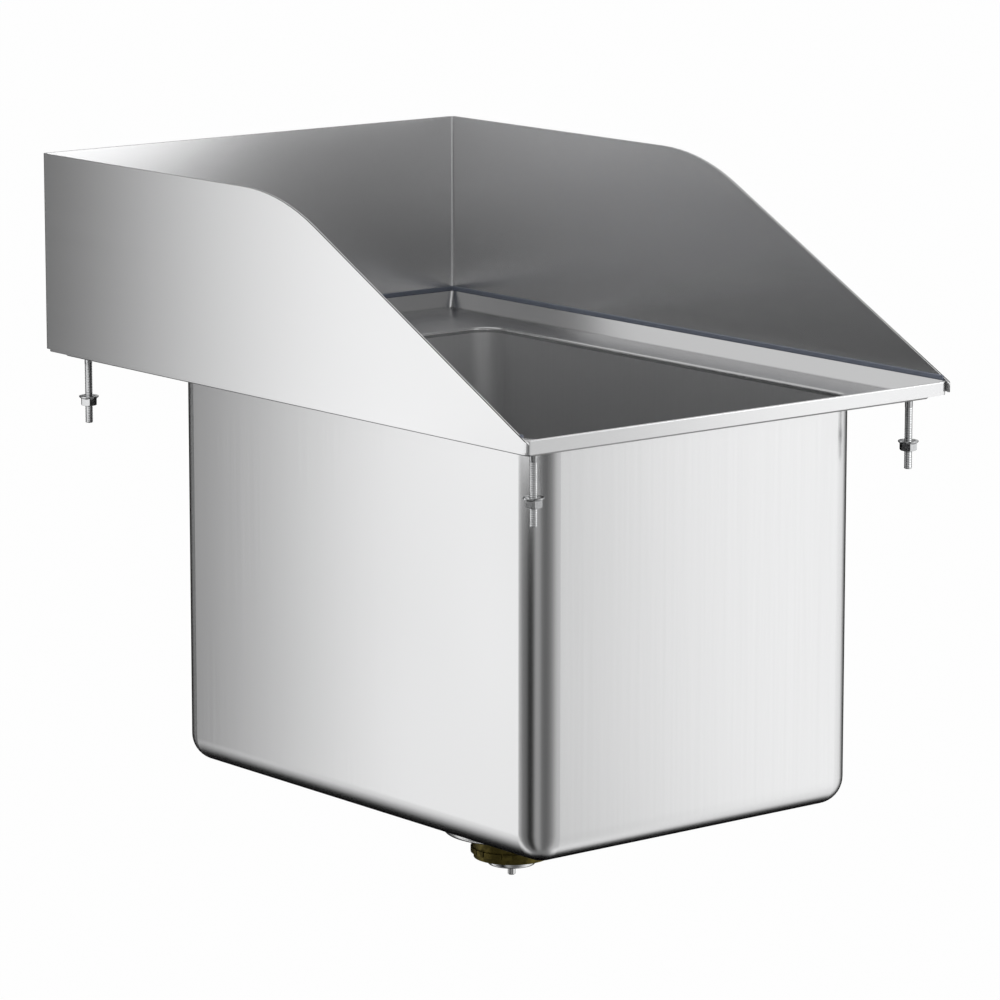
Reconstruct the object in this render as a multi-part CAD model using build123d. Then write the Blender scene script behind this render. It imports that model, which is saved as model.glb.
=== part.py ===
from build123d import *
import math
import os

# Small drop-in sink with a three-sided splash guard, weld studs and a basket drain.
# Millimetres. The origin is the centre of the rim's underside, +X right, +Y back, +Z up.

# Rim and deck, one pressed sheet
sheet = 1.5
flange_width = 330.2
flange_depth = 482.6
rim_height = 8.4
rim_corner_radius = 3.5
crest_width = 1.0
crest_edge_radius = 0.8
slope_run = 7.5
slope_drop = 9.6
slope_foot_radius = 2.2

# Bowl, drawn from the same gauge and butt welded under the deck's drawn edge
bowl_width = 250.0
bowl_length = 355.6
bowl_depth = 254.0
bowl_front_margin = 38.1
bowl_corner_radius = 16.0
drawn_edge_radius = 1.6
drawn_under_radius = 0.4
drawn_edge_depth = 3.5

# Drain seat pressed into the bowl's floor
dish_radius = 104.0
dish_depth = 2.4
seat_depth = 2.8
seat_shoulder = 1.6
seat_clearance = 1.35
drain_hole_radius = 44.45

# Splash guard, one bent sheet round the outside of the rim
guard_height = 127.0
guard_bottom = 1.8
guard_flat_run = 254.0
guard_nose_height = 8.2
guard_crown_radius = 152.4
guard_back_bend = 2.0
guard_nose_bend = 1.5
guard_nose_wrap = 70.0
guard_nose_reach = 1.0
guard_nose_round = 2.0

# Sealant bead along the guard's foot, on the rim's crest
bead_width = 1.1
bead_height = 3.1
bead_foot = 0.6
bead_undercut = 0.5
bead_end_gap = 2.0

# Weld studs and their serrated flange nuts
stud_side_inset = 17.8
stud_front_inset = 15.0
stud_back_inset = 19.2
stud_length = 43.0
stud_radius = 2.41
stud_thread_radius = 2.24
stud_plain_length = 4.0
stud_point = 0.5
weld_collar_radius = 3.4
weld_collar_height = 0.8
weld_collar_bevel = 0.4
nut_flats = 9.53
nut_height = 6.0
nut_bevel_inset = 0.15
nut_bevel_angle = 30.0
nut_flange_radius = 6.25
nut_flange_edge = 0.7
nut_flange_height = 1.9
nut_recess_depth = 0.3
nut_recess_radius = 4.6
nut_drop = 25.6
thread_clearance = 0.05

# Strainer body: flange, cup and threaded neck spun from one sheet
strainer_sheet = 1.0
strainer_flange_radius = 57.15
putty_thickness = 1.0
cup_radius = 43.2
cup_depth = 29.2
cup_floor_depth = 1.1
cup_corner_radius = 1.4
cup_bend_radius = 1.5
neck_radius = 22.2
neck_length = 11.7

# Seals and the locknut under the bowl
putty_inner_radius = 46.0
putty_outer_radius = 56.5
washer_inner_radius = 44.2
washer_outer_radius = 54.0
rubber_washer_thickness = 3.0
friction_washer_thickness = 0.8
locknut_radius = 55.0
locknut_lug_reach = 3.0
locknut_lug_width = 11.0
locknut_lug_count = 6
locknut_height = 9.0
locknut_wall = 4.0
locknut_web = 3.0

# Brass coupling nut on the neck
coupling_top_gap = 3.9
coupling_collar_radius = 24.6
coupling_collar_height = 5.0
coupling_lug_radius = 25.9
coupling_lug_height = 3.3
coupling_lip_radius = 24.0
coupling_lip_height = 3.4
coupling_lip_thickness = 1.8
coupling_opening_radius = 19.25
coupling_notch_count = 8
coupling_notch_half_angle = 7.6
coupling_notch_width = 1.0
coupling_notch_depth = 1.3

# Gasket and guide held inside the coupling nut
gasket_thickness = 1.3
gasket_inner_radius = 17.0
guide_sheet = 0.8
guide_flange_radius = 21.9
guide_drum_radius = 15.3
guide_drum_depth = 6.8
guide_collar_radius = 4.6
guide_collar_depth = 1.2
guide_hole_count = 8
guide_hole_radius = 2.1
guide_hole_circle_radius = 9.6
post_clearance = 0.35

# Basket that lifts out of the strainer body
basket_sheet = 0.8
basket_rim_radius = 46.0
basket_top_radius = 40.6
basket_floor_radius = 38.6
basket_depth = 21.6
basket_corner_radius = 4.0
basket_bend_radius = 1.5
basket_hub_radius = 8.0
basket_hub_rise = 3.0
basket_hub_slope = 1.5
basket_hub_bend = 0.75
wall_hole_radius = 2.0
wall_hole_count = 20
wall_hole_row_depths = (6.5, 13.0)
floor_hole_radius = 2.1
floor_hole_circle_radii = (31.5, 23.0, 14.5)
floor_hole_counts = (20, 14, 8)
drill_length = 5.0

# Post, knob, stopper and the parts that hold the stopper
post_radius = 2.43
post_end = 12.1
knob_radius = 8.5
knob_cap_height = 4.6
knob_height = 20.4
knob_stem_radius = 3.9
knob_foot_radius = 5.6
knob_cap_flare = 1.0
knob_roof = 0.8
knob_edge_radius = 1.5
knob_rim_radius = 0.5
post_chamfer = 0.5
stopper_radius = 27.0
stopper_clearance = 0.3
stopper_plug_radius = 19.8
stopper_plug_height = 3.0
stopper_plug_shoulder = 0.75
stopper_plug_taper = 1.0
stopper_round = 0.6
stopper_washer_radius = 9.0
stopper_washer_thickness = 1.0
circlip_radius = 4.2
circlip_thickness = 0.9
circlip_gap_angle = 70.0

# Nearness within which an edge or a face counts as lying at a level
at_level = 0.01

# Levels and places that follow from the sizes
deck_top = rim_height - slope_drop
deck_under = deck_top - sheet
slope_foot = crest_width + slope_run
bowl_top = deck_top - drawn_edge_depth
bowl_floor = deck_top - bowl_depth
bowl_y = -flange_depth / 2 + bowl_front_margin + bowl_length / 2
drain_center = (0, bowl_y)
seat_radius = strainer_flange_radius + seat_clearance
seat_top = bowl_floor - dish_depth - seat_depth
seat_under = seat_top - sheet
strainer_top = seat_top + putty_thickness + strainer_sheet
cup_inner_radius = cup_radius - strainer_sheet
neck_inner_radius = neck_radius - strainer_sheet
stopper_lip_inner = neck_inner_radius + cup_bend_radius
cup_floor = strainer_top - cup_depth
neck_mouth = cup_floor - cup_floor_depth
neck_end = neck_mouth - strainer_sheet - neck_length
rubber_washer_bottom = seat_under - rubber_washer_thickness
friction_washer_bottom = rubber_washer_bottom - friction_washer_thickness
coupling_top = neck_mouth - strainer_sheet - coupling_top_gap
coupling_lug_top = coupling_top - coupling_collar_height
coupling_lip_top = coupling_lug_top - coupling_lug_height
coupling_end = coupling_lip_top - coupling_lip_height
coupling_shoulder = coupling_end + coupling_lip_thickness
coupling_bore_radius = neck_radius + thread_clearance
gasket_bottom = neck_end - gasket_thickness
basket_floor_under = strainer_top - basket_depth
basket_hub_top = basket_floor_under + basket_hub_rise + basket_sheet
knob_top = basket_hub_top + knob_height
post_bottom = coupling_end - post_end
stud_x = flange_width / 2 - stud_side_inset
stud_front_y = stud_front_inset - flange_depth / 2
stud_back_y = flange_depth / 2 - stud_back_inset
nut_top = deck_under - nut_drop


def rounded_block(width, depth, radius, low, high, y=0.0):
    """Upright block with rounded corners in plan, between two levels."""
    return extrude(Pos(0, y, low) * RectangleRounded(width, depth, radius), high - low)


def inset_outline(inset, radius, level):
    """The flange's outline drawn in by an inset, at a level."""
    return Pos(0, 0, level) * RectangleRounded(flange_width - 2 * inset, flange_depth - 2 * inset, radius)


def turned(points, x=0.0, y=0.0, rounds=()):
    """Solid of revolution about an upright axis from points of radius and level, some of them rounded."""
    outline = make_face(Polyline(*points, close=True))
    for number, radius in rounds:
        corner = outline.vertices().sort_by_distance(points[number])[0]
        outline = fillet(corner, radius)
    return Pos(x, y, 0) * revolve(Plane.XZ * outline, Axis.Z)


def spun_sheet(face_points, radii, thickness, side):
    """Sheet of one thickness, spun about the drain's axis from the outline of one of its faces."""
    face_line = FilletPolyline(*face_points, radius=radii)
    outline = offset(Wire(face_line.edges()), amount=thickness, side=side)
    section = make_face(outline.edges())
    return Pos(*drain_center, 0) * revolve(Plane.XZ * section, Axis.Z)


def ring(outer, inner, low, high):
    """Flat ring about the drain's axis, between two levels."""
    return Pos(*drain_center, low) * extrude(Circle(outer) - Circle(inner), high - low)


def opening_edges(shape, level):
    """Edges round the opening in the level face at a height."""
    faces = shape.faces().filter_by(Axis.Z).filter_by(lambda face: abs(face.center().Z - level) < at_level)
    return faces[0].inner_wires()[0].edges()


def make_rim_deck():
    """Vertical outer lip, crest, sloped inner side, sunk deck and the opening's drawn edge."""
    slope_length = math.hypot(slope_run, slope_drop)
    under_run = sheet * (slope_length - slope_drop) / slope_run
    slope_side = sheet * slope_length / slope_drop
    under_foot = slope_foot - under_run
    under_join = rim_height - (sheet + slope_side - crest_width) * slope_drop / slope_run
    inside = (flange_width - 2 * sheet, flange_depth - 2 * sheet, rim_corner_radius - sheet)
    rim = rounded_block(flange_width, flange_depth, rim_corner_radius, 0, rim_height)
    rim = fillet(rim.faces().sort_by(Axis.Z)[-1].edges(), crest_edge_radius)
    rim -= rounded_block(*inside, 0, under_join)
    rim += loft([
        inset_outline(sheet, rim_corner_radius - sheet, under_join),
        inset_outline(under_foot, slope_foot_radius + under_run, deck_under),
    ], ruled=True)
    rim -= loft([
        inset_outline(crest_width, rim_corner_radius - crest_width, rim_height),
        inset_outline(slope_foot, slope_foot_radius, deck_top),
    ], ruled=True)
    outer = (bowl_width + 2 * sheet, bowl_length + 2 * sheet, bowl_corner_radius + sheet)
    rim += rounded_block(*outer, bowl_top, deck_under, bowl_y)
    rim -= rounded_block(bowl_width, bowl_length, bowl_corner_radius, bowl_top, deck_top, bowl_y)
    rim = fillet(opening_edges(rim, deck_top), drawn_edge_radius)
    return fillet(opening_edges(rim, deck_under), drawn_under_radius)


def drawn_tub(width, depth, radius, floor):
    """Block with its upright and bottom edges rounded by one radius, as a drawn bowl has."""
    height = bowl_top - floor
    tub = Pos(0, bowl_y, floor + height / 2) * Box(width, depth, height)
    upright = tub.edges().filter_by(Axis.Z)
    bottom = tub.faces().sort_by(Axis.Z)[0].edges()
    return fillet(upright + bottom, radius)


def make_bowl():
    """Drawn bowl with a dished floor and a recessed drain seat."""
    shoulder_radius = seat_radius + seat_shoulder
    dish_floor = bowl_floor - dish_depth
    under_shift = sheet * seat_shoulder / seat_depth
    outer = drawn_tub(
        bowl_width + 2 * sheet, bowl_length + 2 * sheet, bowl_corner_radius + sheet, bowl_floor - sheet
    )
    outer += turned([
        (0, bowl_floor),
        (dish_radius, bowl_floor),
        (dish_radius, bowl_floor - sheet),
        (shoulder_radius + under_shift, dish_floor - sheet),
        (seat_radius + under_shift, seat_under),
        (0, seat_under),
    ], *drain_center)
    inner = drawn_tub(bowl_width, bowl_length, bowl_corner_radius, bowl_floor)
    inner += turned([
        (0, bowl_floor),
        (dish_radius, bowl_floor),
        (shoulder_radius, dish_floor),
        (seat_radius, seat_top),
        (drain_hole_radius, seat_top),
        (drain_hole_radius, seat_under),
        (0, seat_under),
    ], *drain_center)
    return outer - inner


def guard_curve(offset_out, nose_start):
    """Plan curve round the rim, from the left nose to the right nose, at a distance outside the rim."""
    half_width = flange_width / 2
    half_depth = flange_depth / 2
    nose_x = half_width - guard_nose_bend
    nose_y = guard_nose_bend - guard_nose_reach - half_depth
    back_x = half_width - guard_back_bend
    back_y = half_depth - guard_back_bend
    nose_radius = guard_nose_bend + offset_out
    back_radius = guard_back_bend + offset_out
    side_x = half_width + offset_out
    left_back = CenterArc((-back_x, back_y), back_radius, 180, -90)
    right_back = CenterArc((back_x, back_y), back_radius, 90, -90)
    if nose_start is None:
        left = [CenterArc((-nose_x, nose_y), nose_radius, 180 + guard_nose_wrap, -guard_nose_wrap)]
        right = [CenterArc((nose_x, nose_y), nose_radius, 0, -guard_nose_wrap)]
        side_start = nose_y
    else:
        left = []
        right = []
        side_start = nose_start
    left.append(Line((-side_x, side_start), (-side_x, back_y)))
    right.insert(0, Line((side_x, back_y), (side_x, side_start)))
    back = Line((-back_x, half_depth + offset_out), (back_x, half_depth + offset_out))
    return [*left, left_back, back, right_back, *right]


def guard_band(outer_offset, inner_offset, nose_start=None):
    """Face between two plan curves round the rim."""
    outer = guard_curve(outer_offset, nose_start)
    inner = guard_curve(inner_offset, nose_start)
    left_end = Line(outer[0] @ 0, inner[0] @ 0)
    right_end = Line(outer[-1] @ 1, inner[-1] @ 1)
    return make_face([*outer, right_end, *inner, left_end])


def make_splash_guard():
    """Bent sheet with a level top, a large crown radius and a slope down to each nose."""
    back_face = flange_depth / 2 + sheet
    crown_y = back_face - guard_flat_run
    front_y = -flange_depth / 2
    nose_center_y = front_y + guard_nose_bend - guard_nose_reach
    nose_tip_y = nose_center_y - (guard_nose_bend + sheet) * math.sin(math.radians(guard_nose_wrap))
    slope = (guard_height - guard_nose_height) / (crown_y - front_y)
    nose_tip_height = guard_nose_height + slope * (nose_tip_y - front_y)
    side = Polyline(
        (0, back_face, guard_bottom),
        (0, nose_tip_y, guard_bottom),
        (0, nose_tip_y, nose_tip_height),
        (0, crown_y, guard_height),
        (0, back_face, guard_height),
        close=True,
    )
    profile = make_face(side)
    crown = profile.vertices().sort_by_distance((0, crown_y, guard_height))[0]
    profile = fillet(crown, guard_crown_radius)
    nose = profile.vertices().sort_by_distance((0, nose_tip_y, nose_tip_height))[0]
    profile = fillet(nose, guard_nose_round)
    sheet_band = extrude(Pos(0, 0, guard_bottom) * guard_band(sheet, 0), guard_height - guard_bottom)
    return sheet_band & extrude(profile, flange_width / 2 + 2 * sheet, both=True, dir=(1, 0, 0))


def make_foot_sealant():
    """Bead of sealant on the rim's crest, undercut at its foot, along the guard's inner face."""
    end_y = guard_nose_bend + bead_end_gap - flange_depth / 2
    foot = extrude(Pos(0, 0, rim_height) * guard_band(0, bead_undercut - bead_width, end_y), bead_foot)
    body_low = rim_height + bead_foot
    body = extrude(Pos(0, 0, body_low) * guard_band(0, -bead_width, end_y), bead_height - bead_foot)
    top_inner = body.faces().sort_by(Axis.Z)[-1].edges().filter_by(
        lambda edge: abs(abs((edge @ 0.5).X) - flange_width / 2 + bead_width) < at_level
    )
    body = chamfer(top_inner, bead_undercut)
    return body + foot


def make_weld_stud(x, y):
    """Stud with its weld collar, a short plain shank and a length at the thread's mean radius."""
    collar_end = deck_under - weld_collar_height
    plain_end = collar_end - stud_plain_length
    stud_end = deck_under - stud_length
    return turned([
        (0, deck_under),
        (weld_collar_radius, deck_under),
        (weld_collar_radius - weld_collar_bevel, collar_end),
        (stud_radius, collar_end),
        (stud_radius, plain_end),
        (stud_thread_radius, plain_end),
        (stud_thread_radius, stud_end + stud_point),
        (stud_thread_radius - stud_point, stud_end),
        (0, stud_end),
    ], x, y)


def make_flange_nut(x, y):
    """Hexagon nut with a cone-backed flange on top, dished in its bearing face."""
    bore = stud_thread_radius + thread_clearance
    nut_bottom = nut_top - nut_height
    corner = nut_flats / math.sqrt(3)
    bevel_radius = nut_flats / 2 - nut_bevel_inset
    bevel_height = (corner - bevel_radius) * math.tan(math.radians(nut_bevel_angle))
    hexagon = RegularPolygon(nut_flats / 2, 6, major_radius=False)
    body = extrude(Pos(x, y, nut_bottom) * hexagon, nut_height)
    body &= turned([
        (0, nut_top),
        (corner, nut_top),
        (corner, nut_bottom + bevel_height),
        (bevel_radius, nut_bottom),
        (0, nut_bottom),
    ], x, y)
    body += turned([
        (0, nut_top),
        (nut_flange_radius, nut_top),
        (nut_flange_radius, nut_top - nut_flange_edge),
        (nut_flats / 2, nut_top - nut_flange_height),
        (0, nut_top - nut_flange_height),
    ], x, y)
    body -= turned([
        (0, nut_top),
        (nut_recess_radius, nut_top),
        (bore, nut_top - nut_recess_depth),
        (bore, nut_bottom),
        (0, nut_bottom),
    ], x, y)
    return body


def make_strainer_body():
    """Flange, cup with a falling floor and neck, spun from one sheet."""
    return spun_sheet(
        [
            (strainer_flange_radius, strainer_top),
            (cup_inner_radius, strainer_top),
            (cup_inner_radius, cup_floor),
            (neck_inner_radius, neck_mouth),
            (neck_inner_radius, neck_end),
        ],
        [cup_bend_radius, cup_corner_radius, cup_bend_radius],
        strainer_sheet,
        Side.LEFT,
    )


def make_locknut():
    """Large sheet-metal locknut: threaded wall, clamping web and wrench lugs."""
    low = friction_washer_bottom - locknut_height
    bore = cup_radius + thread_clearance
    nut = ring(bore + locknut_wall, bore, low, friction_washer_bottom)
    nut += ring(locknut_radius, bore, friction_washer_bottom - locknut_web, friction_washer_bottom)
    lug_length = locknut_lug_reach + locknut_wall
    lug_center = locknut_radius + locknut_lug_reach - lug_length / 2
    lug = Box(lug_length, locknut_lug_width, locknut_web)
    for place in PolarLocations(lug_center, locknut_lug_count):
        nut += Pos(*drain_center, friction_washer_bottom - locknut_web / 2) * place * lug
    return nut


def make_coupling_nut():
    """Brass nut with a plain collar, a ring of lugs, a lower lip and an inside shoulder."""
    nut = turned([
        (coupling_bore_radius, coupling_top),
        (coupling_collar_radius, coupling_top),
        (coupling_collar_radius, coupling_lug_top),
        (coupling_lug_radius, coupling_lug_top),
        (coupling_lug_radius, coupling_lip_top),
        (coupling_lip_radius, coupling_lip_top),
        (coupling_lip_radius, coupling_end),
        (coupling_opening_radius, coupling_end),
        (coupling_opening_radius, coupling_shoulder),
        (coupling_bore_radius, coupling_shoulder),
    ], *drain_center)
    slot = Box(2 * coupling_notch_depth, coupling_notch_width, coupling_lug_height)
    slot_level = coupling_lip_top + coupling_lug_height / 2
    pitch = 360 / coupling_notch_count
    for number in range(coupling_notch_count):
        for side in (-1, 1):
            turn = Rot(0, 0, number * pitch + side * coupling_notch_half_angle)
            nut -= Pos(*drain_center, slot_level) * turn * Pos(coupling_lug_radius, 0, 0) * slot
    return nut


def make_outlet_guide():
    """Pressed guide: flange in the nut, drum below it, drain holes and a collar round the post."""
    flange_top = gasket_bottom
    drum_inner = guide_drum_radius - guide_sheet
    drum_floor = flange_top - guide_drum_depth
    bore = post_radius + post_clearance
    guide = spun_sheet(
        [
            (guide_flange_radius, flange_top),
            (drum_inner, flange_top),
            (drum_inner, drum_floor),
            (guide_collar_radius, drum_floor),
            (bore, drum_floor - guide_collar_depth),
        ],
        [guide_sheet, guide_sheet, guide_sheet],
        guide_sheet,
        Side.LEFT,
    )
    hole = Cylinder(guide_hole_radius, drill_length)
    for place in PolarLocations(guide_hole_circle_radius, guide_hole_count):
        guide -= Pos(*drain_center, drum_floor) * place * hole
    return guide


def make_basket_shell():
    """Perforated basket: flat rim, tapered wall, floor and a raised hub round the post."""
    rim_under = strainer_top
    shell = spun_sheet(
        [
            (basket_rim_radius, rim_under),
            (basket_top_radius, rim_under),
            (basket_floor_radius, basket_floor_under),
            (basket_hub_radius, basket_floor_under),
            (basket_hub_radius - basket_hub_slope, basket_floor_under + basket_hub_rise),
            (post_radius, basket_floor_under + basket_hub_rise),
        ],
        [basket_bend_radius, basket_corner_radius, basket_bend_radius, basket_hub_bend],
        basket_sheet,
        Side.RIGHT,
    )
    wall_drill = Rot(0, 90, 0) * Cylinder(wall_hole_radius, drill_length)
    pitch = 360 / wall_hole_count
    for row, drop in enumerate(wall_hole_row_depths):
        level = rim_under - drop
        wall_radius = basket_top_radius - (basket_top_radius - basket_floor_radius) * drop / basket_depth
        for number in range(wall_hole_count):
            turn = Rot(0, 0, (number + row / 2) * pitch)
            shell -= Pos(*drain_center, level) * turn * Pos(wall_radius, 0, 0) * wall_drill
    floor_drill = Cylinder(floor_hole_radius, drill_length)
    for circle_radius, count in zip(floor_hole_circle_radii, floor_hole_counts):
        for place in PolarLocations(circle_radius, count):
            shell -= Pos(*drain_center, basket_floor_under) * place * floor_drill
    return shell


def make_basket_knob():
    """Turned lifting knob, waisted under its cap, bored from below and seated on the basket's hub."""
    cap_bottom = knob_top - knob_cap_height
    foot_rise = knob_foot_radius - knob_stem_radius
    points = [
        (0, knob_top),
        (knob_radius, knob_top),
        (knob_radius, cap_bottom),
        (knob_stem_radius, cap_bottom - knob_cap_flare),
        (knob_stem_radius, basket_hub_top + foot_rise),
        (knob_foot_radius, basket_hub_top),
        (post_radius, basket_hub_top),
        (post_radius, knob_top - knob_roof),
        (0, knob_top - knob_roof),
    ]
    rounds = ((1, knob_edge_radius), (2, knob_rim_radius), (3, knob_edge_radius), (4, knob_edge_radius))
    return turned(points, *drain_center, rounds)


def make_basket_post():
    """Straight post from inside the knob to below the outlet guide, with a chamfered end."""
    return turned([
        (0, knob_top - knob_roof),
        (post_radius, knob_top - knob_roof),
        (post_radius, post_bottom + post_chamfer),
        (post_radius - post_chamfer, post_bottom),
        (0, post_bottom),
    ], *drain_center)


def cup_floor_level(radius):
    """Level of the cup's falling floor at a radius."""
    depth_per_radius = cup_floor_depth / (cup_inner_radius - neck_inner_radius)
    return cup_floor - depth_per_radius * (cup_inner_radius - radius)


def stopper_end():
    """Level of the stopper's lower face."""
    return cup_floor_level(stopper_lip_inner) + stopper_clearance - stopper_plug_height


def make_rubber_stopper():
    """Flat-topped rubber stopper with a lip over the cup's floor and a plug in the neck."""
    lip_edge_level = cup_floor_level(stopper_radius) + stopper_clearance
    lip_inner_level = stopper_end() + stopper_plug_height
    return turned([
        (post_radius, basket_floor_under),
        (stopper_radius, basket_floor_under),
        (stopper_radius, lip_edge_level),
        (stopper_lip_inner, lip_inner_level),
        (stopper_plug_radius, lip_inner_level - stopper_plug_shoulder),
        (stopper_plug_radius - stopper_plug_taper, stopper_end()),
        (post_radius, stopper_end()),
    ], *drain_center, ((1, stopper_round), (2, stopper_round)))


def make_stopper_washer():
    """Flat washer on the post under the stopper."""
    low = stopper_end() - stopper_washer_thickness
    return ring(stopper_washer_radius, post_radius, low, stopper_end())


def make_post_circlip():
    """Open spring clip on the post under the washer."""
    high = stopper_end() - stopper_washer_thickness
    low = high - circlip_thickness
    clip = ring(circlip_radius, post_radius, low, high)
    reach = 2 * circlip_radius
    half_gap = math.radians(circlip_gap_angle / 2)
    mouth = make_face(Polyline(
        (0, 0),
        (reach, -reach * math.tan(half_gap)),
        (reach, reach * math.tan(half_gap)),
        close=True,
    ))
    return clip - Pos(*drain_center, low) * extrude(mouth, circlip_thickness)


def make_parts():
    """Every node of the part, by name."""
    parts = {
        "rim_deck": make_rim_deck(),
        "bowl": make_bowl(),
        "splash_guard": make_splash_guard(),
        "foot_sealant": make_foot_sealant(),
    }
    studs = []
    for end, y in (("front", stud_front_y), ("back", stud_back_y)):
        for hand, x in (("left", -stud_x), ("right", stud_x)):
            studs.append(make_weld_stud(x, y))
            parts[f"{end}_{hand}_flange_nut"] = make_flange_nut(x, y)
    parts["weld_studs"] = Compound(children=[solid for stud in studs for solid in stud.solids()])
    parts["strainer_body"] = make_strainer_body()
    parts["plumbers_putty"] = ring(
        putty_outer_radius, putty_inner_radius, seat_top, seat_top + putty_thickness
    )
    parts["rubber_washer"] = ring(washer_outer_radius, washer_inner_radius, rubber_washer_bottom, seat_under)
    parts["friction_washer"] = ring(
        washer_outer_radius, washer_inner_radius, friction_washer_bottom, rubber_washer_bottom
    )
    parts["drain_locknut"] = make_locknut()
    parts["coupling_nut"] = make_coupling_nut()
    parts["outlet_gasket"] = ring(guide_flange_radius, gasket_inner_radius, gasket_bottom, neck_end)
    parts["outlet_guide"] = make_outlet_guide()
    parts["basket_shell"] = make_basket_shell()
    parts["basket_post"] = make_basket_post()
    parts["basket_knob"] = make_basket_knob()
    parts["rubber_stopper"] = make_rubber_stopper()
    parts["stopper_washer"] = make_stopper_washer()
    parts["post_circlip"] = make_post_circlip()
    return parts


os.makedirs("parts", exist_ok=True)
for node, shape in make_parts().items():
    export_step(shape, f"parts/{node}.step")
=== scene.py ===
import math

import bmesh
import bpy
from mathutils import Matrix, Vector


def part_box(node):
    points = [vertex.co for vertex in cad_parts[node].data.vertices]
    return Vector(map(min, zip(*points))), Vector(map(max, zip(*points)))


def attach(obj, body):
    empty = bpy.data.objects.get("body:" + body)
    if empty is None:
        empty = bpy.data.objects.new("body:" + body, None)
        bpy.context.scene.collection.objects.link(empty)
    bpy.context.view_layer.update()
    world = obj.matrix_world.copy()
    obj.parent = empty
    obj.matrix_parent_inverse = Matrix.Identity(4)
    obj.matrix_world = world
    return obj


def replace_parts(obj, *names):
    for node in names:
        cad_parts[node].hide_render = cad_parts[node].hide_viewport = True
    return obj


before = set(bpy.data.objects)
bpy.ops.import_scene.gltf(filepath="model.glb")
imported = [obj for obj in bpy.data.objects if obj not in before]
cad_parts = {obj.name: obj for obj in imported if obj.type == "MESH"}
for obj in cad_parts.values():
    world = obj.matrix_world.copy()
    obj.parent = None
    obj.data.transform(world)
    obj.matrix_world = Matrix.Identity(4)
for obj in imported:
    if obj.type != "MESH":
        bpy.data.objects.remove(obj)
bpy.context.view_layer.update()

# Lengths are in metres and angles in degrees. Levels of light are linear, and 1 is white.

# The camera stands in front of the sink and to its left, and looks a little down
camera_place = (-1.9648, -2.4426, 0.5156)
camera_turn = 38.971
camera_pitch = 10.776
camera_lens = 183.54
camera_reach = 50.0

# Floor and ceiling
floor_level = -0.6
floor_size = 60.0
floor_tone = 0.95
floor_glow = 0.975
ceiling_light = 1.0

# The studio's ring of bands: degrees counted from +X towards +Y, and brightness. Below the ring
# the light passes to the nadir's and above it to the ceiling's, each between two heights.
studio_bands = (
    (-174, 0.0), (-163, 0.0), (-153, 0.47), (-138, 0.47), (-130, 0.22), (-118, 0.15),
    (-107, 0.16), (-97, 0.22), (-90, 0.28), (-82, 0.42), (-73, 0.60), (-62, 0.76),
    (-52, 0.88), (-46, 1.22), (-10, 1.05), (20, 1.0), (100, 1.0), (120, 1.42),
    (134, 1.42), (139, 0.40), (148, 0.27), (172, 0.16),
)
band_nadir = (-75.0, -56.0)
nadir_light = 0.25
band_ceiling = (0.0, 20.0)
band_zenith = (62.0, 85.0)
ceiling_bands = (
    (-180, 0.54), (-150, 0.28), (-115, 0.08), (-85, 0.05), (-69, 0.30), (-55, 0.60),
    (10, 0.90), (60, 0.90), (120, 0.85), (150, 0.62), (165, 0.62),
)
brightest_band = 2.0
brightest_ceiling = 1.0

# The studio's dark end, behind the sink, from the dark height down. The reach says how far each
# direction lies from it, and the steps say how bright the light is at each distance.
dark_height = -18.0
dark_reach = (
    (-17, 60), (-12, 48), (-6, 41), (0, 34), (8, 27), (20, 16), (51, 0), (80, 6),
    (92, 16), (104, 29), (112, 33), (118, 36), (124, 41), (128, 48), (133, 60),
)
dark_steps = (
    (0, 0.0), (16, 0.0), (22, 0.04), (28, 0.13), (34, 0.32), (39, 0.60), (45, 0.88), (53, 1.0),
)
farthest_reach = 60.0

# Upright cards that only the metal sees. Each has a lower and an upper height, and its
# brightness by place along it. Below the slant level the bands of some cards lean.
left_card_x = -0.40
left_cards = {
    "left_card": (-0.42, -0.065, (
        (0.15, 1.60), (0.198, 1.55), (0.259, 1.40), (0.30, 1.27), (0.341, 1.13), (0.382, 0.97),
        (0.423, 0.78), (0.464, 0.59), (0.505, 0.41), (0.54, 0.25), (0.62, 0.10), (0.80, 0.04),
    )),
    "left_strip": (-0.065, 0.22, (
        (-0.32, 1.40), (0.05, 1.35), (0.15, 1.36), (0.198, 1.40), (0.259, 1.29), (0.30, 1.18),
        (0.341, 1.07), (0.382, 0.94), (0.423, 0.77), (0.464, 0.59), (0.505, 0.41), (0.54, 0.25),
        (0.62, 0.10), (0.80, 0.04),
    )),
}
front_card_y = -0.60
front_cards = {
    "front_card": (-1.0, 0.03, (
        (0.10, 0.70), (0.178, 0.80), (0.24, 0.96), (0.28, 1.08), (0.321, 1.22), (0.378, 1.34),
        (0.455, 1.34), (0.60, 1.25),
    )),
    "front_strip": (0.03, 0.165, (
        (-0.70, 0.84), (0.08, 0.84), (0.18, 1.4), (0.28, 3.8), (0.60, 3.8),
    )),
    "front_top": (0.165, 0.70, (
        (-0.70, 0.58), (0.0, 0.58), (0.14, 0.92), (0.24, 1.20), (0.60, 1.20),
    )),
}
left_foot_bands = (
    (0.43, 0.80), (0.464, 0.59), (0.505, 0.41), (0.54, 0.25), (0.62, 0.10), (0.85, 0.04),
)
left_foot_corners = ((0.495, -0.42), (0.80, -0.42), (1.30, -1.0), (0.912, -1.0))
card_strength = 4.0
slant_level = -0.33
slants = {"front_card": 0.45, "left_foot": 0.72}

# Places on the sink
bowl_center = (0.0, -0.0254, -0.128)
bowl_top = -0.0047
drain_axis = (0.0, -0.0254)
guard_inner_x = 0.1651
guard_inner_y = 0.2413
deck_under = -0.0027

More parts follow.
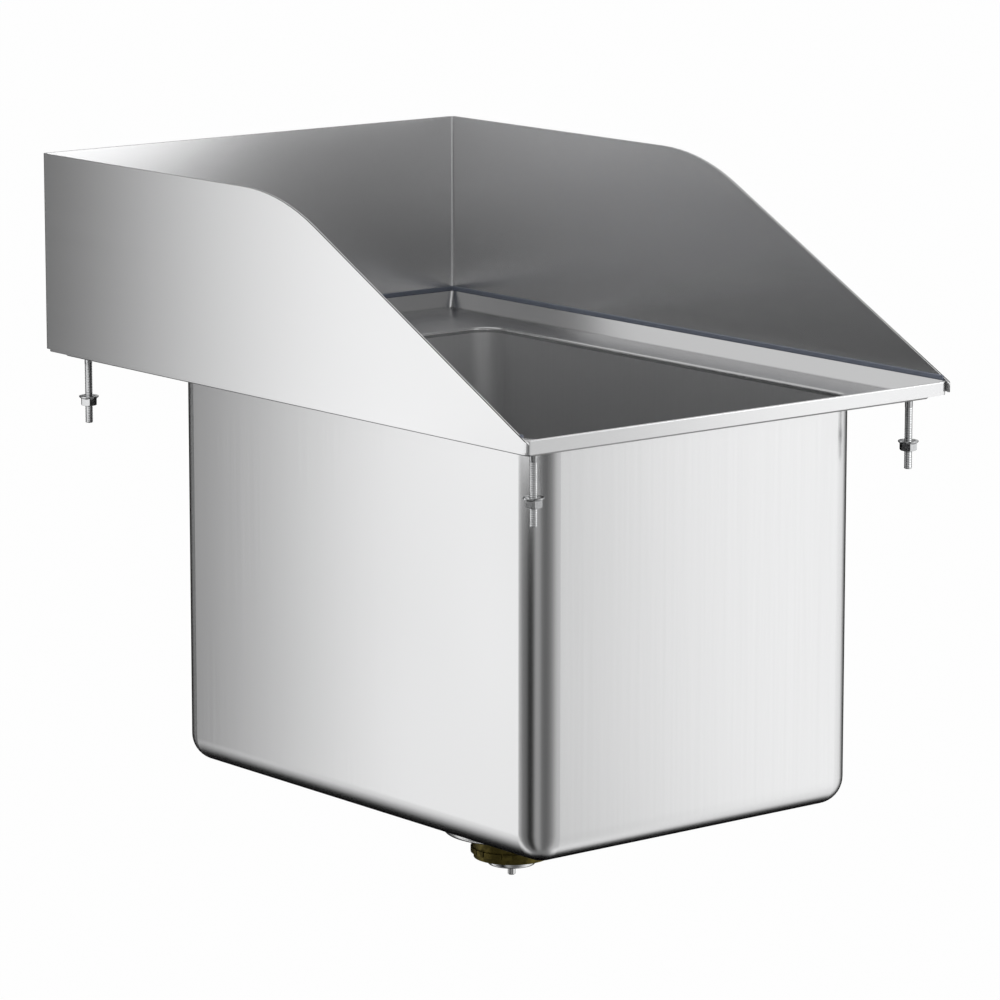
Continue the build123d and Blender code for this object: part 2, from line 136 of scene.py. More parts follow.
# Finish of the sheets. The grain's spacing says how fast it changes along X, Y and Z.
steel_tone = 0.66
grain_upright = (520.0, 520.0, 5.0)
grain_lengthwise = (520.0, 5.0, 520.0)
grain_round_about = (4.0, 4.0, 620.0)
sheet_roughness = 0.25
# Painted light: the bowl's inside colour is raised by this factor; its extra roughness is real
bowl_inside_painted_light = 1.08
bowl_inside_roughness = 0.15
bowl_inside_edge = 0.001
# Painted shade: the deck, below the rim's top, is painted darker by this factor, between these
# heights
deck_painted_shade = 0.82
deck_shade_heights = (-0.0003, -0.0010)
# Painted highlight on the guard's cut top edges, and a painted dark line along their outer corner,
# from where that line starts to where it is full
edge_highlight_color = (0.95, 0.95, 0.95, 1)
edge_dark_line_color = (0.05, 0.05, 0.05, 1)
edge_dark_line_places = (0.0004, 0.0006)

# Painted shade on the deck's underside, heat tint of the stud welds and the studs' dark tops: where
# each colour starts and where it is full
# Painted shade: the colour the deck's downward-facing underside is painted towards
underside_shade_color = (0.10, 0.10, 0.105, 1)
straw_places = (0.010, 0.004)
straw_color = (0.55, 0.42, 0.24, 1)
blue_places = (0.0055, 0.0035)
blue_color = (0.22, 0.26, 0.42, 1)
# The studs' tops, next to the deck, are darkened nearly to black between these heights
stud_top_dark_heights = (-0.0042, -0.0036)
stud_top_dark_color = (0.05, 0.045, 0.04, 1)
brass_stain = (0.036, 0.030, 0.010, 1)

# Weld studs: radius and height of each step of the collar, and a thread as four steps of a turn
stud_places = (
    (-0.1473, -0.2263), (0.1473, -0.2263), (-0.1473, 0.2221), (0.1473, 0.2221),
)
collar_steps = (
    (0.0, 0.0), (0.0036, 0.0), (0.0034, -0.0003), (0.0031, -0.0007), (0.0026, -0.0009),
    (0.00241, -0.0012),
)
stud_end = -0.0457
stud_core = 0.0021
stud_tip = 0.0018
thread_start = -0.0075
thread_pitch = 0.001058
thread_crest = 0.00241
thread_root = 0.00218
thread_steps = ((0.0, thread_crest), (0.14, thread_crest), (0.50, thread_root), (0.64, thread_root))
thread_run_out = 0.0002
thread_segments = 28
spin_segments = 32

# Teeth on the bearing face of each flange nut
nut_corners = ("front_left", "front_right", "back_left", "back_right")
serration_count = 24
serration_share = 0.75
serration_inner = 0.0047
serration_outer = 0.0061
serration_height = 0.00022
serration_foot = -0.00005

# Weld bead round the bowl's top
seam_half_width = 0.1265
seam_radius = 0.0175
seam_y = (-0.2047, 0.1539)
seam_bead = 0.0010
seam_ripple = 0.0013
seam_swell = 0.18
seam_rings = 3
seam_corner_steps = 12
seam_section = ((0.0, 1.0), (0.5, 0.7), (0.75, 0.0), (0.5, -0.7), (0.0, -1.0))


def add(tree, kind, values=None, **settings):
    """One shader node with its settings, and its inputs as values or as links."""
    node = tree.nodes.new(kind)
    for name, value in settings.items():
        setattr(node, name, value)
    for name, value in (values or {}).items():
        if isinstance(value, bpy.types.NodeSocket):
            tree.links.new(value, node.inputs[name])
        else:
            node.inputs[name].default_value = value
    return node


def ramp(tree, factor, stops):
    """Grey ramp through stops of position and brightness."""
    node = add(tree, "ShaderNodeValToRGB", {0: factor})
    elements = node.color_ramp.elements
    while len(elements) < len(stops):
        elements.new(1.0)
    for element, (position, level) in zip(elements, stops):
        element.position = position
        element.color = (level, level, level, 1)
    return node.outputs["Color"]


def calc(tree, operation, first, second=0.0, third=0.0):
    """Output of one math node."""
    values = {0: first, 1: second, 2: third}
    return add(tree, "ShaderNodeMath", values, operation=operation).outputs[0]


def vector_calc(tree, operation, first, second=(0, 0, 0), output=0):
    """Output of one vector math node."""
    values = {0: first, 1: second}
    return add(tree, "ShaderNodeVectorMath", values, operation=operation).outputs[output]


def scaled(tree, vector, scale):
    """A vector or colour times a number."""
    values = {0: vector, "Scale": scale}
    return add(tree, "ShaderNodeVectorMath", values, operation="SCALE").outputs[0]


def fade(tree, value, low, high):
    """Smooth passage from 0 to 1 between two limits."""
    values = {0: value, 1: low, 2: high, 3: 0.0, 4: 1.0}
    return add(tree, "ShaderNodeMapRange", values, interpolation_type="SMOOTHSTEP").outputs[0]


def mix(tree, factor, first, second, blend="MIX"):
    """Mix of two colours."""
    values = {0: factor, 6: first, 7: second}
    return add(tree, "ShaderNodeMix", values, data_type="RGBA", blend_type=blend).outputs[2]


def noise(tree, place, scale, detail):
    """Noise by place."""
    values = {"Vector": place, "Scale": scale, "Detail": detail}
    return add(tree, "ShaderNodeTexNoise", values).outputs[0]


def object_place(tree):
    """Place in the piece's own coordinates."""
    return add(tree, "ShaderNodeTexCoord").outputs["Object"]


def split(tree, vector):
    """A vector's X, Y and Z."""
    return add(tree, "ShaderNodeSeparateXYZ", {0: vector}).outputs


def join(tree, x, y, z):
    """A vector from its X, Y and Z."""
    return add(tree, "ShaderNodeCombineXYZ", {0: x, 1: y, 2: z}).outputs[0]


def grey(level, red=1.0, blue=1.0):
    """A grey, with its red and its blue a little more or less."""
    return (level * red, level, level * blue, 1)


def round_the_ring(tree, turn, stops, limit):
    """Ramp over a full turn, from stops of degrees and of values up to a limit."""
    places = [((degrees + 180) / 360, value / limit) for degrees, value in stops]
    return calc(tree, "MULTIPLY", ramp(tree, turn, places), limit)


def make_world():
    """White to the camera; to everything else bands of light under a ceiling, dark behind."""
    world = bpy.data.worlds.new("studio")
    bpy.context.scene.world = world
    world.use_nodes = True
    tree = world.node_tree
    tree.nodes.clear()
    parts = split(tree, add(tree, "ShaderNodeTexCoord").outputs["Generated"])
    azimuth = calc(tree, "ARCTAN2", parts["Y"], parts["X"])
    turn = calc(tree, "MULTIPLY_ADD", azimuth, 1 / math.tau, 0.5)
    height = calc(tree, "MULTIPLY", calc(tree, "ARCSINE", parts["Z"]), math.degrees(1))
    band_ends = (180, studio_bands[0][1])
    bands = round_the_ring(tree, turn, (*studio_bands, band_ends), brightest_band)
    ceiling_ends = (180, ceiling_bands[0][1])
    overhead = round_the_ring(tree, turn, (*ceiling_bands, ceiling_ends), brightest_ceiling)
    reach = round_the_ring(tree, turn, ((-180, farthest_reach), *dark_reach), farthest_reach)
    rise = calc(tree, "MAXIMUM", calc(tree, "SUBTRACT", height, dark_height), 0.0)
    squares = calc(tree, "POWER", reach, 2), calc(tree, "MULTIPLY", rise, rise)
    away = calc(tree, "SQRT", calc(tree, "ADD", *squares))
    steps = [(step / farthest_reach, level) for step, level in dark_steps]
    dark = ramp(tree, calc(tree, "DIVIDE", away, farthest_reach), steps)
    above = mix(tree, fade(tree, height, *band_zenith), overhead, grey(ceiling_light))
    bands = mix(tree, fade(tree, height, *band_nadir), grey(nadir_light), bands)
    whole = mix(tree, fade(tree, height, *band_ceiling), bands, above)
    light = mix(tree, 1.0, whole, dark, "MULTIPLY")
    camera_ray = add(tree, "ShaderNodeLightPath").outputs["Is Camera Ray"]
    seen = mix(tree, camera_ray, light, (1, 1, 1, 1))
    background = add(tree, "ShaderNodeBackground", {"Color": seen, "Strength": 1.0})
    add(tree, "ShaderNodeOutputWorld", {"Surface": background.outputs[0]})


def plane(name, corners):
    """A flat sheet through four corners."""
    mesh = bpy.data.meshes.new(name)
    mesh.from_pydata(corners, [], [(0, 1, 2, 3)])
    sheet = bpy.data.objects.new(name, mesh)
    bpy.context.scene.collection.objects.link(sheet)
    return sheet


def empty_material(name):
    """A material with no nodes yet."""
    material = bpy.data.materials.new(name)
    material.use_nodes = True
    material.node_tree.nodes.clear()
    return material


def make_floor():
    """Pale floor that shows white to the camera, keeps a soft shadow and is clear from below."""
    half = floor_size / 2
    corners = [(-half, -half), (half, -half), (half, half), (-half, half)]
    floor = plane("studio_floor", [(x, y, floor_level) for x, y in corners])
    material = empty_material("studio_floor")
    tree = material.node_tree
    matt = add(tree, "ShaderNodeBsdfDiffuse", {"Color": grey(floor_tone)})
    glow = add(tree, "ShaderNodeEmission", {"Color": (1, 1, 1, 1), "Strength": 1.0})
    camera_ray = add(tree, "ShaderNodeLightPath").outputs["Is Camera Ray"]
    share = calc(tree, "MULTIPLY", camera_ray, floor_glow)
    above = add(tree, "ShaderNodeMixShader", {0: share, 1: matt.outputs[0], 2: glow.outputs[0]})
    clear = add(tree, "ShaderNodeBsdfTransparent", {"Color": (1, 1, 1, 1)})
    below = add(tree, "ShaderNodeNewGeometry").outputs["Backfacing"]
    sided = add(tree, "ShaderNodeMixShader", {0: below, 1: above.outputs[0], 2: clear.outputs[0]})
    add(tree, "ShaderNodeOutputMaterial", {"Surface": sided.outputs[0]})
    floor.data.materials.append(material)
    floor.visible_glossy = False


def make_card(name, axis, bands, corners):
    """Upright glowing card, banded along one axis, that only the metal sees."""
    card = plane(name, corners)
    material = empty_material(name)
    tree = material.node_tree
    parts = split(tree, object_place(tree))
    under = calc(tree, "MINIMUM", calc(tree, "SUBTRACT", parts["Z"], slant_level), 0.0)
    along = calc(tree, "MULTIPLY_ADD", under, slants.get(name, 0.0), parts[axis])
    near = bands[0][0]
    span = bands[-1][0] - near
    share = calc(tree, "DIVIDE", calc(tree, "SUBTRACT", along, near), span)
    stops = [((spot - near) / span, level / card_strength) for spot, level in bands]
    shade = ramp(tree, share, stops)
    glow = add(tree, "ShaderNodeEmission", {"Color": shade, "Strength": card_strength})
    add(tree, "ShaderNodeOutputMaterial", {"Surface": glow.outputs[0]})
    card.data.materials.append(material)
    card.visible_camera = False
    card.visible_diffuse = False
    card.visible_shadow = False


def make_cards():
    """Cards at the left and in front, in strips of their own brightness."""
    x, y = left_card_x, front_card_y
    for name, (low, high, bands) in left_cards.items():
        near, far = bands[0][0], bands[-1][0]
        corners = [(x, near, low), (x, far, low), (x, far, high), (x, near, high)]
        make_card(name, "Y", bands, corners)
    foot_corners = [(x, along, height) for along, height in left_foot_corners]
    make_card("left_foot", "Y", left_foot_bands, foot_corners)
    for name, (low, high, bands) in front_cards.items():
        near, far = bands[0][0], bands[-1][0]
        corners = [(near, y, low), (far, y, low), (far, y, high), (near, y, high)]
        make_card(name, "X", bands, corners)


def make_camera():
    """Camera at the photograph's viewing angle."""
    data = bpy.data.cameras.new("camera")
    data.lens = camera_lens
    data.sensor_width = 36.0
    data.clip_end = camera_reach
    camera = bpy.data.objects.new("camera", data)
    camera.location = camera_place
    camera.rotation_euler = (math.radians(90 - camera_pitch), 0, math.radians(-camera_turn))
    bpy.context.scene.collection.objects.link(camera)
    bpy.context.scene.camera = camera


surface_sockets = {"Color": "Color", "Roughness": "Float", "Height": "Float"}


def new_group(name, inputs, outputs):
    """Shader node group with typed sockets: the group, what it is given and where results go."""
    group = bpy.data.node_groups.new(name, "ShaderNodeTree")
    for socket, kind in inputs.items():
        group.interface.new_socket(socket, in_out="INPUT", socket_type="NodeSocket" + kind)
    for socket, kind in outputs.items():
        group.interface.new_socket(socket, in_out="OUTPUT", socket_type="NodeSocket" + kind)
    given = group.nodes.new("NodeGroupInput").outputs
    return group, given, group.nodes.new("NodeGroupOutput").inputs


def finish_group(group, outputs, **results):
    """Link a group's results to its outputs."""
    for name, socket in results.items():
        group.links.new(socket, outputs[name])
    return group


def swung(group, given, pattern):
    """Colour and roughness that swing about their given values with a pattern."""
    swing = calc(group, "SUBTRACT", pattern, 0.5)
    light = calc(group, "MULTIPLY_ADD", swing, given["Contrast"], 1.0)
    color = vector_calc(group, "MULTIPLY", given["Base"], light)
    return color, calc(group, "MULTIPLY_ADD", swing, given["Spread"], given["Roughness"])


def make_grain_group():
    """Long fine scratches of brushed sheet: the spacing says how fast they change on each axis."""
    inputs = {
        "Spacing": "Vector", "Base": "Color", "Contrast": "Float", "Roughness": "Float",
        "Spread": "Float",
    }
    group, given, result = new_group("brushed_grain", inputs, surface_sockets)
    stretched = vector_calc(group, "MULTIPLY", object_place(group), given["Spacing"])
    coarse = calc(group, "MULTIPLY", noise(group, stretched, 1.0, 2.0), 0.6)
    fine = noise(group, stretched, 3.7, 3.0)
    streak = calc(group, "ADD", coarse, calc(group, "MULTIPLY", fine, 0.4))
    color, roughness = swung(group, given, streak)
    return finish_group(group, result, Color=color, Roughness=roughness, Height=fine)


def make_turned_group():
    """Fine rings left by spinning or turning about an upright axis."""
    inputs = {
        "Centre": "Vector", "Spacing": "Float", "Base": "Color", "Contrast": "Float",
        "Roughness": "Float", "Spread": "Float",
    }
    group, given, result = new_group("turned_rings", inputs, surface_sockets)
    from_axis = vector_calc(group, "SUBTRACT", object_place(group), given["Centre"])
    parts = split(group, from_axis)
    radius = vector_calc(group, "LENGTH", join(group, parts["X"], parts["Y"], 0.0), output=1)
    across = join(group, radius, 0.0, parts["Z"])
    rings = noise(group, scaled(group, across, given["Spacing"]), 1.0, 3.0)
    color, roughness = swung(group, given, rings)
    return finish_group(group, result, Color=color, Roughness=roughness, Height=rings)


def make_marks_group():
    """Faint broad smears from handling and wiping."""
    inputs = {"Color": "Color", "Roughness": "Float", "Amount": "Float"}
    outputs = {"Color": "Color", "Roughness": "Float"}
    group, given, result = new_group("handling_marks", inputs, outputs)
    smear = fade(group, noise(group, object_place(group), 5.0, 1.0), 0.3, 0.8)
    share = calc(group, "MULTIPLY", smear, given["Amount"])
    color = vector_calc(group, "MULTIPLY", given["Color"], calc(group, "SUBTRACT", 1.0, share))
    roughness = calc(group, "ADD", given["Roughness"], share)
    return finish_group(group, result, Color=color, Roughness=roughness)


def make_grit_group():
    """Speckled moulded, cast or pasted surface, between a dark and a light colour."""
    inputs = {
        "Dark": "Color", "Light": "Color", "Scale": "Float", "Roughness": "Float",
        "Spread": "Float",
    }
    group, given, result = new_group("fine_grit", inputs, surface_sockets)
    place = object_place(group)
    grains = noise(group, place, given["Scale"], 4.0)
    patches = noise(group, place, 90.0, 2.0)
    parts = calc(group, "MULTIPLY", grains, 0.6), calc(group, "MULTIPLY", patches, 0.4)
    share = fade(group, calc(group, "ADD", *parts), 0.35, 0.65)
    color = mix(group, share, given["Dark"], given["Light"])
    swing = calc(group, "SUBTRACT", grains, 0.5)
    roughness = calc(group, "MULTIPLY_ADD", swing, given["Spread"], given["Roughness"])
    return finish_group(group, result, Color=color, Roughness=roughness, Height=grains)


def effect(tree, group, values):
    """One placed effect group with its own values; gives its outputs."""
    return add(tree, "ShaderNodeGroup", values, node_tree=groups[group]).outputs


def marked(tree, surface, amount):
    """A surface with handling marks on it; gives colour and roughness."""
    values = {"Color": surface["Color"], "Roughness": surface["Roughness"], "Amount": amount}
    marks = effect(tree, "marks", values)
    return marks["Color"], marks["Roughness"]


def start_material(name, metallic=True):
    """A new material, its tree and its shader."""
    material = bpy.data.materials.new(name)
    material.use_nodes = True
    shader = material.node_tree.nodes["Principled BSDF"]
    if metallic:
        shader.inputs["Metallic"].default_value = 1.0
    return material, material.node_tree, shader


def wire(tree, shader, color, roughness, height, depth):
    """Feed a shader's colour and roughness, and its normal from a height."""
    tree.links.new(color, shader.inputs["Base Color"])
    tree.links.new(roughness, shader.inputs["Roughness"])
    values = {"Height": height, "Strength": 1.0, "Distance": depth}
    tree.links.new(add(tree, "ShaderNodeBump", values).outputs[0], shader.inputs["Normal"])


def make_sheet_steel(name, spacing, contrast, adjust):
    """Brushed stainless sheet, whose colour and roughness are adjusted by place."""
    material, tree, shader = start_material(name)
    grain = effect(tree, "grain", {
        "Spacing": spacing, "Base": grey(steel_tone, 0.998, 1.006), "Contrast": contrast,
        "Roughness": sheet_roughness, "Spread": 0.05,
    })
    color, roughness = adjust(tree, *marked(tree, grain, 0.01))
    wire(tree, shader, color, roughness, grain["Height"], depth=0.0000012)
    return material


def inside_bowl(tree, color, roughness):
    """The bowl's inside is rougher than its outside, and painted a little lighter as painted light.
    """
    texture = add(tree, "ShaderNodeTexCoord").outputs
    outward = vector_calc(tree, "SUBTRACT", texture["Object"], bowl_center)
    facing = vector_calc(tree, "DOT_PRODUCT", outward, texture["Normal"], 1)
    inside = fade(tree, facing, bowl_inside_edge, -bowl_inside_edge)
    # Painted light: the inside's colour is raised above the outside's
    color = mix(tree, inside, color, scaled(tree, color, bowl_inside_painted_light))
    return color, calc(tree, "MULTIPLY_ADD", inside, bowl_inside_roughness, roughness)


def deck_finish(tree, color, roughness):
    """The deck is painted darker than the rim as painted shade; underneath, where it faces down, it
    is painted nearly black as painted shade and is rougher, with heat tint round the studs.
    """
    parts = split(tree, object_place(tree))
    flat = join(tree, parts["X"], parts["Y"], 0.0)
    nearest = None
    for x, y in stud_places:
        distance = vector_calc(tree, "DISTANCE", flat, (x, y, 0), 1)
        nearest = distance if nearest is None else calc(tree, "MINIMUM", nearest, distance)
    under = fade(tree, parts["Z"], deck_under + 0.0006, deck_under + 0.0002)
    straw = calc(tree, "MULTIPLY", fade(tree, nearest, *straw_places), under)
    blue = calc(tree, "MULTIPLY", fade(tree, nearest, *blue_places), under)
    color = mix(tree, calc(tree, "MULTIPLY", straw, 0.7), color, straw_color)
    color = mix(tree, calc(tree, "MULTIPLY", blue, 0.6), color, blue_color)
    # Painted shade: the underside, where it faces down, is painted nearly black and made rougher
    facing = split(tree, add(tree, "ShaderNodeTexCoord").outputs["Normal"])["Z"]
    underside_shade = calc(tree, "MULTIPLY", fade(tree, facing, -0.15, -0.5), under)
    color = mix(tree, calc(tree, "MULTIPLY", underside_shade, 0.55), color, underside_shade_color)
    # Painted shade: the deck below the rim is painted darker
    low = fade(tree, parts["Z"], *deck_shade_heights)
    color = mix(tree, low, color, scaled(tree, color, deck_painted_shade))
    return color, calc(tree, "MULTIPLY_ADD", underside_shade, 0.15, roughness)


def edge_highlight_and_dark_line(tree, color, roughness):
    """The guard's cut top edges get a painted highlight, near white, and are rougher; a painted
    dark line runs along their outer corner.
    """
    texture = add(tree, "ShaderNodeTexCoord").outputs
    parts = split(tree, texture["Object"])
    edge = fade(tree, split(tree, texture["Normal"])["Z"], 0.35, 0.55)
    out_x = calc(tree, "SUBTRACT", calc(tree, "ABSOLUTE", parts["X"]), guard_inner_x)
    out_y = calc(tree, "SUBTRACT", parts["Y"], guard_inner_y)
    outward = calc(tree, "MAXIMUM", out_x, out_y)
    dark_line = calc(tree, "MULTIPLY", edge, fade(tree, outward, *edge_dark_line_places))
    # Painted highlight on the cut top edges, then a painted dark line along their outer corner
    color = mix(tree, calc(tree, "MULTIPLY", edge, 0.8), color, edge_highlight_color)
    color = mix(tree, dark_line, color, edge_dark_line_color)
    return color, calc(tree, "MULTIPLY_ADD", edge, 0.12, roughness)


def make_spun(name, level, roughness, spacing):
    """Spun or turned metal about the drain's axis."""
    material, tree, shader = start_material(name)
    rings = effect(tree, "turned", {
        "Centre": (*drain_axis, 0), "Spacing": spacing, "Base": grey(level), "Contrast": 0.10,
        "Roughness": roughness, "Spread": 0.12,
    })
    wire(tree, shader, *marked(tree, rings, 0.04), rings["Height"], depth=0.000012)
    return material


def make_zinc():
    """Bright zinc plating, darkened nearly to black and made rougher at the studs' tops next to the
    deck.
    """
    material, tree, shader = start_material("zinc_plate")
    grit = effect(tree, "grit", {
        "Dark": grey(0.44, 0.99, 1.01), "Light": grey(0.54, 0.99, 1.01), "Scale": 900.0,
        "Roughness": 0.20, "Spread": 0.10,
    })
    color, roughness = marked(tree, grit, 0.04)
    top_dark = fade(tree, split(tree, object_place(tree))["Z"], *stud_top_dark_heights)
    color = mix(tree, calc(tree, "MULTIPLY", top_dark, 0.9), color, stud_top_dark_color)
    roughness = calc(tree, "MULTIPLY_ADD", top_dark, 0.25, roughness)
    wire(tree, shader, color, roughness, grit["Height"], depth=0.000004)
    return material


def make_dulled_brass():
    """Rough brass gone olive brown, with darker stains."""
    material, tree, shader = start_material("dulled_brass")
    rings = effect(tree, "turned", {
        "Centre": (*drain_axis, 0), "Spacing": 1500.0, "Base": (0.13, 0.105, 0.028, 1),
        "Contrast": 0.45, "Roughness": 0.42, "Spread": 0.2,
    })
    stain = fade(tree, noise(tree, object_place(tree), 160.0, 4.0), 0.42, 0.66)
    color = mix(tree, calc(tree, "MULTIPLY", stain, 0.6), rings["Color"], brass_stain)
    roughness = calc(tree, "MULTIPLY_ADD", stain, 0.15, rings["Roughness"])
    wire(tree, shader, color, roughness, rings["Height"], depth=0.00002)
    return material


def make_gritty(name, dark, light, scale, roughness, spread, depth, metallic):
    """Even material, speckled between two colours."""
    material, tree, shader = start_material(name, metallic)
    grit = effect(tree, "grit", {
        "Dark": (*dark, 1), "Light": (*light, 1), "Scale": scale, "Roughness": roughness,
        "Spread": spread,
    })
    wire(tree, shader, grit["Color"], grit["Roughness"], grit["Height"], depth)
    return material


def make_soft(name, dark, light, scale, roughness, depth):
    """Rubber, fibre, putty or sealant."""
    return make_gritty(name, dark, light, scale, roughness, 0.12, depth, metallic=False)


def make_piece(name, verts, faces, material, body, smooth=True):
    """Mesh piece that rides on a body and takes the given material."""
    mesh = bpy.data.meshes.new(name)
    mesh.from_pydata(verts, [], faces)
    shape = bmesh.new()
    shape.from_mesh(mesh)
    bmesh.ops.remove_doubles(shape, verts=shape.verts, dist=1e-7)
    bmesh.ops.dissolve_degenerate(shape, edges=shape.edges, dist=1e-7)
    bmesh.ops.recalc_face_normals(shape, faces=shape.faces)
    shape.to_mesh(mesh)
    shape.free()
    for polygon in mesh.polygons:
        polygon.use_smooth = smooth
    piece = bpy.data.objects.new(name, mesh)
    bpy.context.scene.collection.objects.link(piece)
    piece.data.materials.append(material)
    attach(piece, body)
    return piece


def spin(profile, x, y):
    """Points and faces of a closed profile of radius and level, spun about an upright axis."""
    verts = []
    for step in range(spin_segments):
        turn = math.tau * step / spin_segments
        for radius, level in profile:
            verts.append((x + radius * math.cos(turn), y + radius * math.sin(turn), level))
    count = len(profile)
    faces = []
    for step in range(spin_segments):
        here, there = step * count, (step + 1) % spin_segments * count
        for spot in range(count - 1):
            faces.append((here + spot, there + spot, there + spot + 1, here + spot + 1))
    return verts, faces


def thread(x, y, low, high):
    """Points and faces of a screw thread on an upright rod between two levels."""
    turns = math.ceil((high - low) / thread_pitch) + 1
    rows = []
    for number in range(turns + 1):
        rows += [(number + share - 1, radius) for share, radius in thread_steps]
    verts = []
    for rise, radius in rows:
        for step in range(thread_segments):
            turn = math.tau * step / thread_segments
            level = low + (rise + step / thread_segments) * thread_pitch
            reach = min(radius, thread_root + thread_run_out) if level < low else radius
            level = min(max(level, low), high)
            verts.append((x + reach * math.cos(turn), y + reach * math.sin(turn), level))
    faces = []
    for row in range(len(rows) - 1):
        for step in range(thread_segments - 1):
            here = row * thread_segments + step
            faces.append((here, here + 1, here + 1 + thread_segments, here + thread_segments))
        if row + len(thread_steps) < len(rows):
            last = row * thread_segments + thread_segments - 1
            first = (row + len(thread_steps)) * thread_segments
            faces.append((last, first, first + thread_segments, last + thread_segments))
    return verts, faces


def merge(shapes):
    """Several sets of points and faces as one."""
    verts, faces = [], []
    for some_verts, some_faces in shapes:
        start = len(verts)
        verts += some_verts
        faces += [tuple(start + corner for corner in face) for face in some_faces]
    return verts, faces


def make_studs(material):
    """Weld studs with their collars, plain shanks and real threads."""
    collar = [(radius, deck_under + drop) for radius, drop in collar_steps]
    shank = [
        (thread_crest, thread_start + 0.0001), (stud_core, thread_start - 0.0002),
        (0.0, thread_start - 0.0002),
    ]
    tip = [
        (0.0, stud_end + 0.0006), (stud_core, stud_end + 0.0006), (stud_core, stud_end + 0.0003),
        (stud_tip, stud_end), (0.0, stud_end),
    ]
    shapes = []
    for x, y in stud_places:
        shapes.append(spin(collar + shank, x, y))
        shapes.append(thread(x, y, stud_end + 0.0003, thread_start))
        shapes.append(spin(tip, x, y))
    verts, faces = merge(shapes)
    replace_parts(make_piece("stud_threads", verts, faces, material, "sink"), "weld_studs")


def make_serrations(node, body, x, y, material):
    """Radial teeth on a flange nut's bearing face."""
    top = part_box(node)[1][2]
    pitch = math.tau / serration_count
    verts, faces = [], []
    for number in range(serration_count):
        start = pitch * number
        back = start + serration_share * pitch
        corner = len(verts)
        section = ((start, serration_foot), (back, serration_foot), (back, serration_height))
        for radius in (serration_inner, serration_outer):
            for turn, rise in section:
                verts.append((x + radius * math.cos(turn), y + radius * math.sin(turn), top + rise))
        faces += [
            (corner, corner + 1, corner + 2), (corner + 3, corner + 5, corner + 4),
            (corner, corner + 2, corner + 5, corner + 3),
            (corner + 1, corner + 4, corner + 5, corner + 2),
            (corner, corner + 3, corner + 4, corner + 1),
        ]
    make_piece(body + "_serrations", verts, faces, material, body, smooth=False)


def seam_line():
    """Places along the weld seam, each with the direction that points away from the bowl."""
    corners = (
        (seam_half_width, seam_y[1], 0), (-seam_half_width, seam_y[1], 90),
        (-seam_half_width, seam_y[0], 180), (seam_half_width, seam_y[0], 270),
    )
    outline = []
    for x, y, start in corners:
        center_x = x - math.copysign(seam_radius, x)
        center_y = y - math.copysign(seam_radius, y - bowl_center[1])
        for step in range(seam_corner_steps + 1):
            turn = math.radians(start + 90 * step / seam_corner_steps)
            place = center_x + seam_radius * math.cos(turn), center_y + seam_radius * math.sin(turn)
            outline.append(place)
    line = []
    for index, (x, y) in enumerate(outline):
        end_x, end_y = outline[(index + 1) % len(outline)]
        run_x, run_y = end_x - x, end_y - y
        length = math.hypot(run_x, run_y)
        pieces = max(1, round(length / (seam_ripple / seam_rings)))
        for step in range(pieces):
            share = step / pieces
            line.append((x + run_x * share, y + run_y * share, run_y / length, -run_x / length))
    return line


def make_weld_seam(material):
    """Rippled weld bead round the outside of the bowl, where it joins the deck."""
    line = seam_line()
    verts = []
    for index, (x, y, out_x, out_y) in enumerate(line):
        swell = seam_bead * (1 + seam_swell * math.sin(math.tau * index / seam_rings))
        for out, up in seam_section:
            reach = out * swell
            verts.append((x + out_x * reach, y + out_y * reach, bowl_top + up * seam_bead))
    count = len(seam_section)
    faces = []
    for index in range(len(line)):
        here, there = index * count, (index + 1) % len(line) * count
        for spot in range(count - 1):
            faces.append((here + spot, there + spot, there + spot + 1, here + spot + 1))
    make_piece("bowl_weld_seam", verts, faces, material, "sink")


make_world()
make_floor()
make_cards()
make_camera()

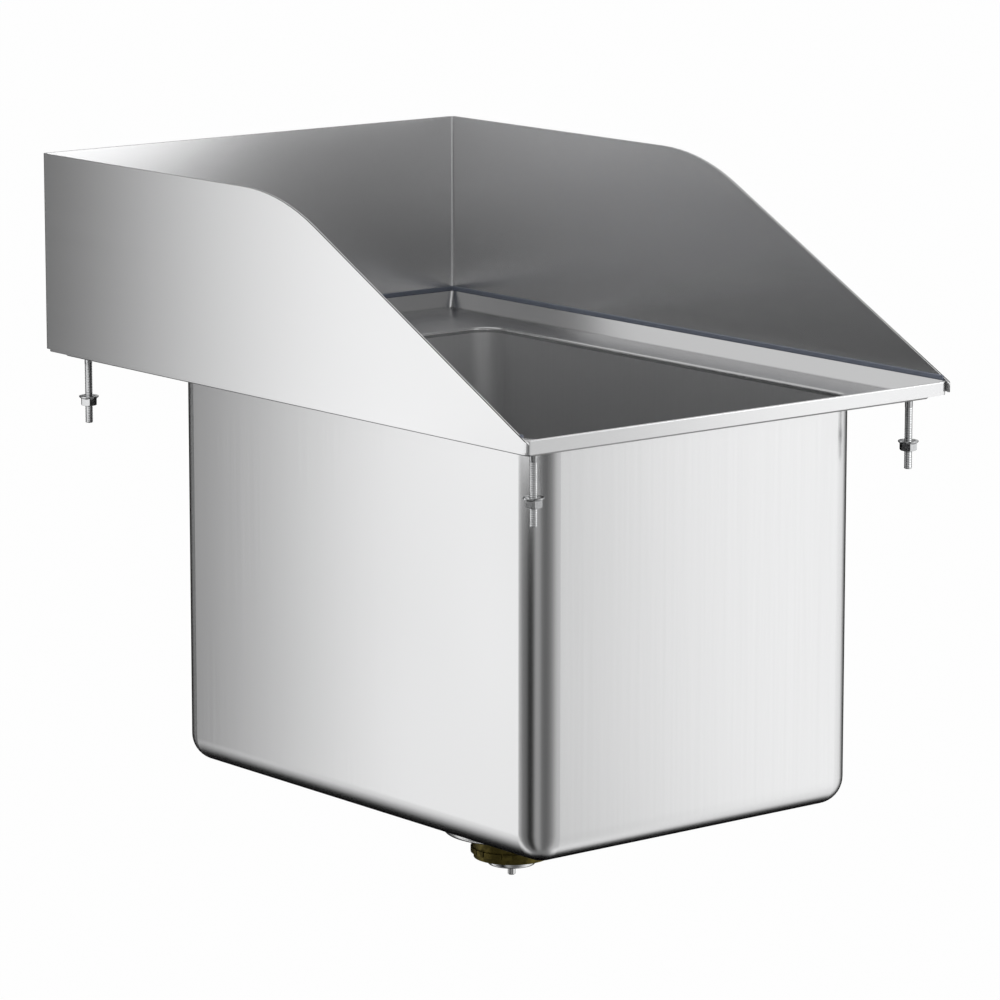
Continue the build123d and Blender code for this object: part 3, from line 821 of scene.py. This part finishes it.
groups = {
    "grain": make_grain_group(), "turned": make_turned_group(), "marks": make_marks_group(),
    "grit": make_grit_group(),
}
bowl_steel = make_sheet_steel("bowl_steel", grain_upright, 0.10, inside_bowl)
deck_steel = make_sheet_steel("deck_steel", grain_lengthwise, 0.04, deck_finish)
guard_steel = make_sheet_steel("guard_steel", grain_round_about, 0.02, edge_highlight_and_dark_line)
strainer_steel = make_spun("spun_steel", 0.66, 0.22, 2400.0)
polished_steel = make_spun("turned_steel", 0.64, 0.16, 3200.0)
zinc_plate = make_zinc()
dulled_brass = make_dulled_brass()
cast_zinc = make_gritty(
    "cast_zinc", (0.30, 0.30, 0.30), (0.42, 0.42, 0.42), 1400.0, 0.52, 0.2, 0.00005, metallic=True)
weld_metal = make_gritty(
    "weld_metal", (0.30, 0.26, 0.22), (0.56, 0.52, 0.45), 500.0, 0.34, 0.2, 0.00003, metallic=True)
sealant = make_soft(
    "sealant_bead", (0.215, 0.24, 0.31), (0.25, 0.28, 0.355), 700.0, 0.38, 0.00002)
black_rubber = make_soft(
    "black_rubber", (0.018, 0.018, 0.018), (0.035, 0.034, 0.033), 1200.0, 0.58, 0.00002)
putty = make_soft("soft_putty", (0.50, 0.46, 0.36), (0.64, 0.60, 0.49), 600.0, 0.75, 0.00006)
red_fibre = make_soft("red_fibre", (0.20, 0.08, 0.05), (0.32, 0.15, 0.09), 900.0, 0.66, 0.00003)

looks = {
    "rim_deck": deck_steel, "bowl": bowl_steel, "splash_guard": guard_steel,
    "foot_sealant": sealant, "weld_studs": zinc_plate, "front_left_flange_nut": zinc_plate,
    "front_right_flange_nut": zinc_plate, "back_left_flange_nut": zinc_plate,
    "back_right_flange_nut": zinc_plate, "strainer_body": strainer_steel,
    "plumbers_putty": putty, "rubber_washer": black_rubber, "friction_washer": red_fibre,
    "drain_locknut": cast_zinc, "coupling_nut": dulled_brass, "outlet_gasket": black_rubber,
    "outlet_guide": strainer_steel, "basket_shell": strainer_steel,
    "basket_post": polished_steel, "basket_knob": polished_steel,
    "rubber_stopper": black_rubber, "stopper_washer": polished_steel,
    "post_circlip": polished_steel,
}
for node, material in looks.items():
    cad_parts[node].data.materials.clear()
    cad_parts[node].data.materials.append(material)

make_studs(zinc_plate)
for corner, (x, y) in zip(nut_corners, stud_places):
    make_serrations(corner + "_flange_nut", corner + "_nut", x, y, zinc_plate)
make_weld_seam(weld_metal)

bpy.context.scene.view_settings.view_transform = "Standard"
